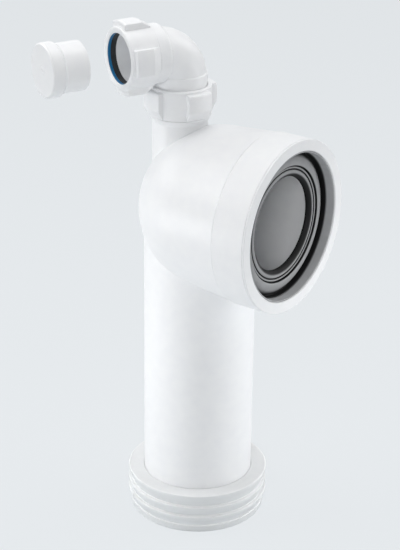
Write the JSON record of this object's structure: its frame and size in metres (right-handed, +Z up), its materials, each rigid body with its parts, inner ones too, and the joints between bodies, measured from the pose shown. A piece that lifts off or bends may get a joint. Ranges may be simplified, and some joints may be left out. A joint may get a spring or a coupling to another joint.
{
  "type": "toilet pan connector",
  "caption": "White moulded toilet pan connector: right-angle bend with a sealed pan socket, a finned drain outlet, and a swivelling vent elbow with lugged nuts and a push-in blanking plug.",
  "frame": {"origin": "middle of the outlet seal's foot, on the outlet pipe's axis", "axes": "+Z up along the outlet pipe, -Y out of the pan socket, X across"},
  "size_m": [0.1846, 0.1777, 0.4251],
  "materials": {
    "white_plastic": "satin white polypropylene",
    "grey_rubber": "matt dark grey rubber",
    "pale_rubber": "matt pale soft rubber",
    "black_rubber": "matt black rubber",
    "blue_plastic": "smooth blue plastic"
  },
  "bodies": {
    "connector": {"connector_body": "white_plastic", "pan_seal": "grey_rubber", "outlet_fin_seal": "pale_rubber"},
    "vent_union": {"lower_seal": "black_rubber"},
    "elbow": {"vent_elbow": "white_plastic"},
    "lower_nut": {"lower_nut": "white_plastic"},
    "mouth_rings": {"upper_slip_washer": "blue_plastic", "upper_seal": "black_rubber"},
    "upper_nut": {"upper_nut": "white_plastic"},
    "plug": {"blanking_plug": "white_plastic"}
  },
  "joints": [
    {"name": "vent_union_lift", "type": "slide", "parent": "connector", "child": "vent_union", "axis": [0, 0, 1], "range_m": [0, 0.012]},
    {"name": "lower_nut_turn", "type": "hinge", "parent": "vent_union", "child": "lower_nut", "pos_m": [0, 0.0206, 0.3563], "axis": [0, 0, 1], "range_deg": [0, 1440]},
    {"name": "elbow_swivel", "type": "hinge", "parent": "vent_union", "child": "elbow", "pos_m": [0, 0.0206, 0.3955], "axis": [0, 0, 1], "continuous": true},
    {"name": "mouth_rings_slide", "type": "slide", "parent": "elbow", "child": "mouth_rings", "axis": [-0.9063, 0.4226, 0], "range_m": [0, 0.012]},
    {"name": "upper_nut_turn", "type": "hinge", "parent": "mouth_rings", "child": "upper_nut", "pos_m": [-0.03825, 0.03843, 0.3955], "axis": [-0.9063, 0.4226, 0], "range_deg": [0, 1440]},
    {"name": "plug_pull", "type": "slide", "parent": "mouth_rings", "child": "plug", "axis": [-0.9063, 0.4226, 0], "range_m": [-0.0539, 0.1]}
  ],
  "couplings": [
    {"joint": "lower_nut_turn", "follows": "vent_union_lift", "rad_per_m": 2094.4},
    {"joint": "upper_nut_turn", "follows": "mouth_rings_slide", "rad_per_m": 2094.4}
  ]
}
